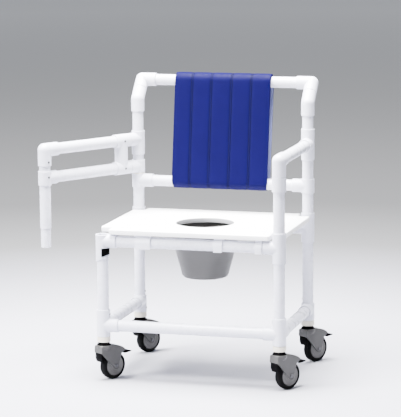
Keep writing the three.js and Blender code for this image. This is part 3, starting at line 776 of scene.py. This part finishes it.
def make_plugs():
    """The cream plug in each leg's foot, with a shallow groove under the fitting."""
    for corner in CORNERS:
        low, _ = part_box(corner + "_base_fitting")
        height = PLUG_TOP - low.z
        groove, top = height - 0.4 * MM, height + PLUG_TONGUE
        corners = [(STEM_HOLE, height / 2), (STEM_HOLE, 0), (PLUG_RADIUS, 0), (PLUG_RADIUS, height - 2 * MM)]
        corners += [(PLUG_GROOVE_RADIUS, height - 1.8 * MM), (PLUG_GROOVE_RADIUS, groove)]
        corners += [(PLUG_TONGUE_RADIUS, groove), (PLUG_TONGUE_RADIUS, top)]
        corners += [(STEM_HOLE, top), (STEM_HOLE, height / 2)]
        profile = rounded_profile(corners, 0.8 * MM, 3)[:-1]
        at = pointing(post_centre(post_of(corner), low.z), UP)
        piece = lathe(corner + "_caster_plug", profile, CREAM_PLUG, at)
        place_piece(piece, "frame", "white_fitting")


# ---- Seat ----

BOARD_EDGE = 3 * MM
BOARD_CORNER = 9 * MM
NOTCH_WIDTH = 44 * MM
FRONT_NOTCH = 53 * MM
REAR_NOTCH = 52 * MM
SEAT_HOLE_RADIUS = 103.5 * MM


def make_seat_board():
    (left, front, bottom), (right, rear, top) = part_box("seat_board")
    in_left, in_right = left + NOTCH_WIDTH, right - NOTCH_WIDTH
    in_front, in_rear = front + FRONT_NOTCH, rear - REAR_NOTCH
    corners = [(in_left, front), (in_right, front), (in_right, in_front), (right, in_front)]
    corners += [(right, in_rear), (in_right, in_rear), (in_right, rear), (in_left, rear)]
    corners += [(in_left, in_rear), (left, in_rear), (left, in_front), (in_left, in_front)]
    hole = middle_of("pail")
    loops = [rounded_loop(corners, BOARD_CORNER), circle(SEAT_HOLE_RADIUS, hole.xy, 128)]
    place = Matrix.Translation((0, 0, (bottom + top) / 2))
    piece = slab("seat_board_fine", loops, top - bottom, BOARD_EDGE, WHITE_BOARD, place)
    # The hole's inner wall takes the grey material: painted shade inside the hole.
    piece.data.materials.append(HOLE_WALL_SHADE)
    for face in piece.data.polygons:
        off_centre = math.hypot(face.center.x - hole.x, face.center.y - hole.y)
        if off_centre < SEAT_HOLE_RADIUS + 2 * MM and abs(face.normal.z) < 0.4:
            face.material_index = 1
    place_piece(piece, "seat", "white_board", "seat_board")


CLIPS = {
    "left_front_clip": "front_seat_rail",
    "middle_front_clip": "front_seat_rail",
    "right_front_clip": "front_seat_rail",
    "rear_clip": "rear_seat_rail",
}
CLIP_BORE = TUBE_RADIUS + 0.3 * MM
CLIP_RADIUS = TUBE_RADIUS + 4.5 * MM
CLIP_PAD = 14 * MM  # half the width of the flat top
ALONG_X = Matrix(((0, 0, 1, 0), (1, 0, 0, 0), (0, 1, 0, 0), (0, 0, 0, 1)))


def make_clips():
    for node, rail in CLIPS.items():
        low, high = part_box(node)
        centre = middle_of(rail)
        drop, top = low.z - centre.z, high.z - centre.z
        shoulder = math.acos(CLIP_PAD / CLIP_RADIUS)
        loop = [(-CLIP_RADIUS, drop), (-CLIP_BORE, drop)]
        loop += circle(CLIP_BORE, steps=32, start=math.pi, end=0)
        loop += [(CLIP_BORE, drop), (CLIP_RADIUS, drop)]
        loop += circle(CLIP_RADIUS, steps=16, start=0, end=shoulder)
        loop += [(CLIP_PAD, top), (-CLIP_PAD, top)]
        loop += circle(CLIP_RADIUS, steps=16, start=math.pi - shoulder, end=math.pi)
        place = Matrix.Translation(((low.x + high.x) / 2, centre.y, centre.z)) @ ALONG_X
        piece = slab(node + "_fine", [loop], high.x - low.x, 1 * MM, WHITE_FITTING, place)
        place_piece(piece, "seat", "white_fitting", node)


PAIL_RIM_THICKNESS = 3 * MM
PAIL_FLOOR_RADIUS = 83 * MM
PAIL_TOP_RADIUS = 127.2 * MM
PAIL_WALL = 2.6 * MM
PAIL_BASE = 1.5 * MM  # where the raised middle's underside is
PAIL_FLOOR = 3.6 * MM


def make_pail():
    low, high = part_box("pail")
    height, rim = high.z - low.z, (high.x - low.x) / 2
    under = height - PAIL_RIM_THICKNESS
    outside = [(0, PAIL_BASE), (66 * MM, PAIL_BASE), (68 * MM, 0), (PAIL_FLOOR_RADIUS - 6 * MM, 0)]
    outside += [(PAIL_FLOOR_RADIUS, 6.5 * MM), (PAIL_TOP_RADIUS, under)]
    lip = [(rim - 1.2 * MM, under), (rim - 0.4 * MM, height - 1.5 * MM), (rim - 1.2 * MM, height)]
    inside = [(PAIL_TOP_RADIUS - 0.6 * MM, height), (PAIL_TOP_RADIUS - PAIL_WALL, height - 2.4 * MM)]
    inside += [(PAIL_FLOOR_RADIUS - PAIL_WALL, 8 * MM), (PAIL_FLOOR_RADIUS - 9 * MM, PAIL_FLOOR)]
    profile = rounded_profile(outside + lip + inside + [(0, PAIL_FLOOR)], 2 * MM)
    at = pointing(post_centre("pail", low.z), UP)
    place_piece(lathe("pail_fine", profile, GREY_PAIL, at, 128), "pail", "grey_pail", "pail")


GUIDE_SHEET = 3 * MM
GUIDE_WEB_INSET = 5.5 * MM
SIDEWAYS = Matrix(((1, 0, 0, 0), (0, 0, -1, 0), (0, 1, 0, 0), (0, 0, 0, 1)))  # from XY to XZ


def make_guides():
    middle = middle_of("pail").x
    for side, sign in (("left", -1), ("right", 1)):
        node = side + "_pail_guide"
        low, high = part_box(node)
        lip, foot = sorted((abs(low.x - middle), abs(high.x - middle)))
        web, bottom, top = lip + GUIDE_WEB_INSET, low.z, high.z
        back, under = web + GUIDE_SHEET, top - GUIDE_SHEET
        loop = [(lip, bottom), (back, bottom), (back, under), (foot, under), (foot, top), (web, top)]
        loop += [(web, bottom + GUIDE_SHEET), (lip, bottom + GUIDE_SHEET)]
        loop = [(middle + sign * x, z) for x, z in loop]
        place = Matrix.Translation((0, (low.y + high.y) / 2, 0)) @ SIDEWAYS
        piece = slab(node + "_fine", [loop], high.y - low.y, 0.5 * MM, WHITE_FITTING, place)
        place_piece(piece, "seat", "white_fitting", node)


# ---- Casters, built at the origin trailing along +X, then put under each leg ----

CASTER_HEADING = math.radians(56.5)
WHEEL_RADIUS = 50 * MM
WHEEL_TRAIL = 38 * MM
FORK_WIDTH = 43 * MM
CHEEK = 3.6 * MM
FORK_VOXEL = 1.2 * MM
PEDAL_WIDTH = 29 * MM
AXLE_PLACE = (WHEEL_TRAIL, WHEEL_RADIUS)

# Outlines and profiles of the small parts, in millimetres.
CHEEK_FRONT = [(-26, 121), (-26, 102)]
CHEEK_BACK = [(64, 92), (80, 101), (80, 107), (58, 119), (30, 126)]
HOOD_FRONT = [(-26, 127), (-26, 101)]
HOOD_BACK = [(62, 104.5), (80, 103.5), (80, 107.5), (70, 114.5), (58, 120), (44, 124.5), (28, 127)]
FORK_HEAD = [(0, 112), (24.5, 112), (24.5, 117), (27, 118), (27, 129), (0, 129)]
HOUSING = [(-25.6, 101.5), (-25.6, 82), (-20, 68), (-16, 68), (-11.5, 81), (-3, 93), (2, 101.5)]
PEDAL_UNDER = [(60, 98), (73, 91.8), (84, 87), (108, 89.2), (114.5, 91.2)]
PEDAL_TOP = [(114.5, 92.6), (104, 95.5), (84, 100), (76, 103), (60, 103)]
COLLAR = [(0, 129), (25.5, 129), (24.5, 131), (19, 138), (17, 140.7), (0, 140.7)]
HALF_PIN = [(0, -25), (5.5, -25), (7, -23.5), (7, -21.6), (4.5, -21.4)]
HALF_TYRE = [(36, 0), (36, -14), (39, -15.4), (45, -14.4), (49, -10), (50, -4)]
HALF_HUB = [(4.8, 0), (4.8, 16), (11, 16), (13, 13), (20, 12), (21, 13), (22.5, 13), (23.5, 12)]
HALF_HUB += [(30, 12.6), (32, 14.8), (35.8, 15)]


def round_axle(radius, steps, start, end):
    """A stretch of circle round the axle, with its angles in degrees."""
    return circle(radius * MM, AXLE_PLACE, steps, math.radians(start), math.radians(end))


def fork_parts():
    cheek = mm(CHEEK_FRONT) + round_axle(14, 20, 226, 372) + mm(CHEEK_BACK)
    hood = mm(HOOD_FRONT) + round_axle(53.5, 20, 104, 66) + mm(HOOD_BACK)
    parts = []
    for side in (-1, 1):
        place = Matrix.Translation((0, side * (FORK_WIDTH - CHEEK) / 2, 0)) @ SIDEWAYS
        parts.append(slab_mesh("cheek", [cheek], CHEEK, 0.8 * MM, place))
    parts.append(slab_mesh("hood", [hood], FORK_WIDTH, 2.5 * MM, SIDEWAYS))
    parts.append(turned("head", rounded_profile(mm(FORK_HEAD), 1.5 * MM), Matrix.Identity(4)))
    return parts + [rim_mesh(-1), rim_mesh(1)]


def rim_mesh(side):
    """A raised rim along the front edge of one fork leg, down to the axle."""
    path = mm([(-24.5, 112), (-24.5, 102.5)]) + round_axle(12.6, 14, 226, 320)
    line = [(x, side * FORK_WIDTH / 2, z) for x, z in path]
    settings = {"dimensions": "3D", "bevel_depth": 1.3 * MM, "bevel_resolution": 3, "use_fill_caps": True}
    return curve_mesh("rim", [line], False, **settings)


def make_caster(corner):
    fork, wheel, pedal = (corner + "_" + part for part in ("fork", "wheel", "pedal"))
    at = Matrix.Translation(post_centre(post_of(corner), 0)) @ Matrix.Rotation(CASTER_HEADING, 4, "Z")
    on_axle = at @ Matrix.Translation((WHEEL_TRAIL, 0, WHEEL_RADIUS)) @ Matrix.Rotation(-math.pi / 2, 4, "X")

    parts = fork_parts()
    for part in parts:
        part.transform(at)
    piece = remeshed(corner + "_fork_fine", parts, FORK_VOXEL, GREY_CASTER)
    place_piece(piece, fork, "grey_caster", corner + "_caster_fork")

    loop = rounded_loop(mm(HOUSING), 2 * MM, 3)
    width = FORK_WIDTH - 2 * CHEEK - 0.4 * MM
    piece = slab(corner + "_brake_housing", [loop], width, 1 * MM, BLACK_PLASTIC, at @ SIDEWAYS)
    place_piece(piece, fork, "black_plastic")

    piece = lathe(corner + "_swivel_collar", rounded_profile(mm(COLLAR), 1 * MM), BLACK_PLASTIC, at)
    place_piece(piece, fork, "black_plastic")

    pin = mm(HALF_PIN + [(r, -h) for r, h in reversed(HALF_PIN)])
    piece = lathe(corner + "_axle_pin", pin, SCREW_STEEL, on_axle, 32)
    place_piece(piece, fork, "grey_caster")

    piece = lathe(corner + "_tyre", mirrored_profile(HALF_TYRE, 2 * MM, 4), TYRE, on_axle, 96)
    place_piece(piece, wheel, "black_tyre", corner + "_caster_wheel")
    piece = lathe(corner + "_hub", mirrored_profile(HALF_HUB, 0.8 * MM, 3), GREY_HUB, on_axle, 96)
    place_piece(piece, wheel, "grey_caster")

    loop = rounded_loop(mm(PEDAL_UNDER + PEDAL_TOP), 1.5 * MM, 3)
    piece = slab(corner + "_pedal_fine", [loop], PEDAL_WIDTH, 1 * MM, BLACK_PLASTIC, at @ SIDEWAYS)
    place_piece(piece, pedal, "black_plastic", corner + "_brake_pedal")


# ---- Back cover: a padded sleeve round the top and lower back rails, quilted by four double seams ----

COVER_INSIDE = 20.7 * MM
COVER_TOP_PAD = 9.4 * MM
COVER_LOW_PAD = 3.4 * MM
SEAM_DEPTH = 0.8 * MM
PAD_SHOULDER = 5 * MM
PAD_UNEVEN = 0.06 * MM
GROOVE_WIDTH = 2.3 * MM
GROOVE_DEPTH = 0.4 * MM
RIDGE_HEIGHT = 0.7 * MM
COVER_PUFF = 0.1 * MM
SEAM_SHARES = (0.185, 0.385, 0.595, 0.8)
SEAM_GAP = 5.5 * MM
HEM = 7 * MM
COVER_PITCH = 5.5 * MM
CORNER_TUCK = 5 * MM
TUCK_START = 12 * MM  # above the lower rail's axis
TUCK_REACH = 34 * MM
SIM_FRAMES = 20
SIM_CAP = 0.5 * MM
CLOTH = {
    "quality": 5,
    "mass": 0.4,
    "tension_stiffness": 15,
    "compression_stiffness": 12,
    "shear_stiffness": 6,
    "bending_stiffness": 15,
    "vertex_group_mass": "held",
    "use_pressure": True,
    "uniform_pressure_force": 1.5,
    "shrink_min": -0.0004,
}


def cover_loop(top, low, top_radius, low_radius):
    """Places round the loop, with the way out from each, in a plane of constant X."""
    across = top - low
    line, distance = math.atan2(across.z, across.y), across.length
    spread = math.acos((low_radius - top_radius) / distance)
    span = math.sqrt(distance**2 - (top_radius - low_radius) ** 2)
    count = round(span / COVER_PITCH)
    out = []

    def arc(centre, radius, start, end, steps):
        for i in range(steps):
            angle = start + (end - start) * i / steps
            normal = Vector((0, math.cos(angle), math.sin(angle)))
            out.append((centre + normal * radius, normal))

    def straight(angle, first, second, first_radius, second_radius):
        normal = Vector((0, math.cos(angle), math.sin(angle)))
        start, end = first + normal * first_radius, second + normal * second_radius
        for i in range(count):
            out.append((start.lerp(end, i / count), normal))

    arc(top, top_radius, line - spread, line + spread, 20)
    straight(line + spread, top, low, top_radius, low_radius)
    arc(low, low_radius, line + spread, line - spread + 2 * math.pi, 16)
    straight(line - spread, low, top, low_radius, top_radius)
    return out


def cover_columns(width):
    """Column places across the cover: each with its share of its strip, the strip's kind and width."""
    edges = [(0, "hem"), (HEM, "pad")]
    for share in SEAM_SHARES:
        for middle in (share * width - SEAM_GAP / 2, share * width + SEAM_GAP / 2):
            edges += [(middle - GROOVE_WIDTH / 2, "groove"), (middle + GROOVE_WIDTH / 2, "ridge")]
        edges[-1] = (edges[-1][0], "pad")
    edges.append((width - HEM, "hem"))
    columns = []
    for (start, kind), (end, _) in zip(edges, edges[1:] + [(width, "")]):
        strip = end - start
        steps = max(4, round(strip / COVER_PITCH)) if kind == "pad" else 2
        columns += [(start + strip * i / steps, i / steps, kind, strip) for i in range(steps)]
    return columns + [(width, 0, "hem", HEM)]


def above_seam(kind, t, strip, rng):
    """How far the cover stands above its seams, at share t across a strip."""
    if kind == "pad":
        edge = min(1, min(t, 1 - t) * strip / PAD_SHOULDER)
        swell = (SEAM_DEPTH + COVER_PUFF) * edge * edge * (3 - 2 * edge)
        return swell + rng.uniform(-PAD_UNEVEN, PAD_UNEVEN)
    heights = {"hem": 0, "ridge": RIDGE_HEIGHT, "groove": -GROOVE_DEPTH}
    return heights[kind] * math.sin(math.pi * t)


def make_back_cover():
    low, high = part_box("back_cover")
    top, bottom = middle_of("top_handle_rail"), middle_of("lower_back_rail")
    top.x = bottom.x = 0
    inner = cover_loop(top, bottom, COVER_INSIDE, COVER_INSIDE)
    outer = cover_loop(top, bottom, COVER_INSIDE + COVER_TOP_PAD, COVER_INSIDE + COVER_LOW_PAD)
    width = high.x - low.x
    columns = cover_columns(width)
    rng = random.Random(7)
    bm = bmesh.new()
    inside, outside, pinned, lines = [], [], [], []
    for x, t, kind, strip in columns:
        inner_ring, outer_ring, line = [], [], []
        for (inner_place, normal), (outer_place, _) in zip(inner, outer):
            tucked = min(1, max(0, (bottom.z + TUCK_START - inner_place.z) / TUCK_REACH))
            tuck = CORNER_TUCK * tucked**1.5
            shift = Vector((low.x + tuck + x * (width - 2 * tuck) / width, 0, 0))
            pad = (outer_place - inner_place).length
            height = pad - SEAM_DEPTH + above_seam(kind, t, strip, rng)
            line.append((inner_place + normal * height + shift, normal))
            inner_ring.append(bm.verts.new(inner_place + shift))
            outer_ring.append(bm.verts.new(line[-1][0]))
        inside.append(inner_ring)
        outside.append(outer_ring)
        if kind != "pad" or t == 0:
            pinned += outer_ring
        pinned += inner_ring
        if kind == "groove" and t:
            lines.append(line)

    def wrap(first, second, finish):
        for i in range(len(first)):
            j = (i + 1) % len(first)
            bm.faces.new([first[i], second[i], second[j], first[j]]).material_index = finish

    # The groove strips take the darker vinyl: painted shade along the seams.
    for first, second, column in zip(outside, outside[1:], columns):
        wrap(first, second, 2 if column[2] == "groove" else 0)
    # The inside faces take the light lining: painted light on faces that the cover shades.
    for first, second in zip(inside, inside[1:]):
        wrap(second, first, 1)
    wrap(inside[0], outside[0], 0)
    wrap(outside[-1], inside[-1], 0)
    bm.verts.index_update()
    pinned_indices = [v.index for v in pinned]
    bmesh.ops.recalc_face_normals(bm, faces=bm.faces)
    mesh = bpy.data.meshes.new("cover")
    bm.to_mesh(mesh)
    bm.free()
    for finish in (BLUE_VINYL, LINING_WITH_PAINTED_LIGHT, GROOVE_SHADE_VINYL):
        mesh.materials.append(finish)
    cover = linked("back_cover_fine", mesh)
    puff_up(cover, pinned_indices)
    smooth = cover.modifiers.new("smooth", "SUBSURF")
    smooth.levels = smooth.render_levels = 1
    mesh = evaluated(cover)
    cover.modifiers.clear()
    cover.data = mesh
    mesh.shade_smooth()
    place_piece(cover, "frame", "blue_vinyl", "back_cover")
    stitches = make_stitches(lines)
    stitches.parent = cover


def puff_up(piece, pinned_indices):
    """Lets the pads swell between the stitched lines, then keeps the shape."""
    rest = [v.co.copy() for v in piece.data.vertices]
    group = piece.vertex_groups.new(name="held")
    group.add(pinned_indices, 1.0, "REPLACE")
    cloth = piece.modifiers.new("cloth", "CLOTH")
    for key, value in CLOTH.items():
        setattr(cloth.settings, key, value)
    cloth.settings.effector_weights.gravity = 0
    cloth.collision_settings.use_collision = False
    cloth.point_cache.frame_end = SIM_FRAMES
    scene = bpy.context.scene
    for step in range(1, SIM_FRAMES + 1):
        scene.frame_set(step)
    graph = bpy.context.evaluated_depsgraph_get()
    settled = [v.co.copy() for v in piece.evaluated_get(graph).data.vertices]
    piece.modifiers.clear()
    piece.vertex_groups.clear()
    scene.frame_set(1)
    for vertex, before, after in zip(piece.data.vertices, rest, settled):
        moved = after - before
        if moved.length > SIM_CAP:
            moved = moved.normalized() * SIM_CAP
        vertex.co = before + moved


STITCH_PITCH = 4.4 * MM
STITCH_LENGTH = 3.1 * MM
STITCH_RADIUS = 0.42 * MM
STITCH_LIFT = 0.25 * MM
STITCH_SIDES = 6
STITCH_SHAPE = [(0, -0.5), (0.35, -0.5), (1, -0.36), (1, 0.36), (0.35, 0.5), (0, 0.5)]


def make_stitches(lines):
    """A small spindle of thread at every stitch along each seam line."""
    profile = [(radius * STITCH_RADIUS, reach * STITCH_LENGTH) for radius, reach in STITCH_SHAPE]
    mesh = bpy.data.meshes.new("stitches")
    bm = bmesh.new()
    for line in lines:
        travelled, due = 0.0, 0.0
        for (start, normal), (end, _) in zip(line, line[1:] + line[:1]):
            step = end - start
            length = step.length
            while due <= travelled + length:
                middle = start + step * ((due - travelled) / length) + normal * STITCH_LIFT
                along = step.normalized()
                turn = Matrix((along.cross(normal), normal, along)).transposed().to_4x4()
                turn_profile(bm, profile, Matrix.Translation(middle) @ turn, STITCH_SIDES)
                due += STITCH_PITCH
            travelled += length
    bm.to_mesh(mesh)
    bm.free()
    return as_object("cover_stitches", mesh, THREAD, math.radians(80))


# ---- Screws in the fittings ----

SCREW_PROFILE = [(0, 0.3), (1.6, 0.3), (1.6, 1.7), (3, 1.5), (4.2, 0.5), (4.2, -1.2), (0, -1.2)]  # mm
FRAME_SCREWS = [  # the upright, the way out and the height in millimetres
    ("left_rear_post", TO_RIGHT, 238),
    ("left_rear_post", TO_RIGHT, 176),
    ("right_rear_post", TO_LEFT, 238),
    ("right_rear_post", TO_LEFT, 461),
    ("left_front_leg", TO_RIGHT, 240),
    ("right_front_leg", TO_LEFT, 240),
]
BASE_FITTING_TOP = 224  # mm, at the rear posts


def make_screw(name, body, place, outward):
    """A dark domed screw head with a round recess."""
    piece = lathe(name, mm(SCREW_PROFILE), SCREW_STEEL, pointing(place, outward), 24)
    place_piece(piece, body, "black_plastic")


def make_screws():
    side = UP.cross(ARM_OUT).normalized()
    hinge = Vector((arm_start.x, arm_start.y, 0)) - ARM_OUT * RAIL_START
    post = post_centre("arm_front_post", 0)
    upper, lower = level_of("arm_upper_rail"), level_of("arm_lower_rail")
    arm_places = [
        (hinge + ARM_OUT * 82 * MM, upper),
        (hinge + ARM_OUT * 80 * MM, lower),
        (post, upper - 42 * MM),
        (post, lower + 4 * MM),
    ]
    for k, (place, level) in enumerate(arm_places):
        make_screw("arm_screw_" + str(k), "arm", place + UP * level + side * SLEEVE_RADIUS, side)
    for k, (post_name, outward, level) in enumerate(FRAME_SCREWS):
        in_fitting = level < BASE_FITTING_TOP or post_name.endswith("leg")
        at = post_centre(post_name, level * MM) + outward * (SLEEVE_RADIUS if in_fitting else TUBE_RADIUS)
        make_screw("frame_screw_" + str(k), "frame", at, outward)


# ---- Studio ----

FLOOR_REACH = 80
FLOOR_GREYS_REACH = 20
# Greys by share of FLOOR_GREYS_REACH from the chair: painted light fall-off, darkest some metres out and
# lighter again far away.
FLOOR_GREYS = [(0.0, 0.385), (0.05, 0.345), (0.10, 0.2), (0.13, 0.135), (0.19, 0.112), (0.85, 0.62)]
LIGHTS = [  # name, place, target, size in metres and power in watts
    ("key", (-3.5, -2.8, 3.4), (0, 0, 0.5), 1.8, 1200),
    ("fill", (3.4, -3.2, 2.0), (0, 0, 0.6), 2.5, 12),
    ("top", (-0.25, -0.15, 4.0), (0, 0, 0.4), 2.5, 2900),
]
SKY_COLOUR = (0.9, 0.94, 1.0, 1)
SKY_STRENGTH = 0.62


def make_floor():
    """A floor whose grey changes with the distance from the chair: painted light fall-off, standing in for a
    lit backdrop.
    """
    n = Nodes("floor")
    split = n.add("ShaderNodeVectorMath", operation="LENGTH")
    n.link(n.place, split.inputs[0])
    ramp = n.add("ShaderNodeValToRGB")
    distance = n.spread(split.outputs["Value"], 0, 1, 0, FLOOR_GREYS_REACH)
    n.link(distance, ramp.inputs["Fac"])
    stops = ramp.color_ramp.elements
    while len(stops) < len(FLOOR_GREYS):
        stops.new(0.5)
    for stop, (at, grey) in zip(stops, FLOOR_GREYS):
        stop.position = at
        cool = 1.12 if at < 0.12 else 1.03
        stop.color = (grey, grey, grey * cool, 1)
    n.link(ramp.outputs["Color"], n.shader.inputs["Base Color"])
    n.shader.inputs["Roughness"].default_value = 0.7
    n.shader.inputs["Specular IOR Level"].default_value = 0.2
    sizes = {"x_segments": 4, "y_segments": 4, "size": FLOOR_REACH}
    mesh = mesh_of("floor", lambda bm: bmesh.ops.create_grid(bm, **sizes))
    mesh.materials.append(n.material)
    floor = linked("floor", mesh)


def make_lights():
    for name, at, target, size, power in LIGHTS:
        data = bpy.data.lights.new(name, "AREA")
        data.shape = "SQUARE"
        data.size = size
        data.energy = power
        light = linked(name, data)
        light.location = at
        light.rotation_mode = "QUATERNION"
        light.rotation_quaternion = (Vector(target) - Vector(at)).to_track_quat("-Z", "Y")
    world = bpy.data.worlds.new("studio")
    bpy.context.scene.world = world
    world.use_nodes = True
    background = world.node_tree.nodes["Background"]
    background.inputs["Color"].default_value = SKY_COLOUR
    background.inputs["Strength"].default_value = SKY_STRENGTH


# ---- Everything ----

make_camera()
make_tubes()
make_tees()
make_elbows()
make_handle_ends()
make_corner_fitting()
make_coupling_and_ring()
make_stiffener()
make_arm_post()
make_plugs()
make_seat_board()
make_clips()
make_pail()
make_guides()
for caster_corner in CORNERS:
    make_caster(caster_corner)
make_back_cover()
make_screws()
make_floor()
make_lights()
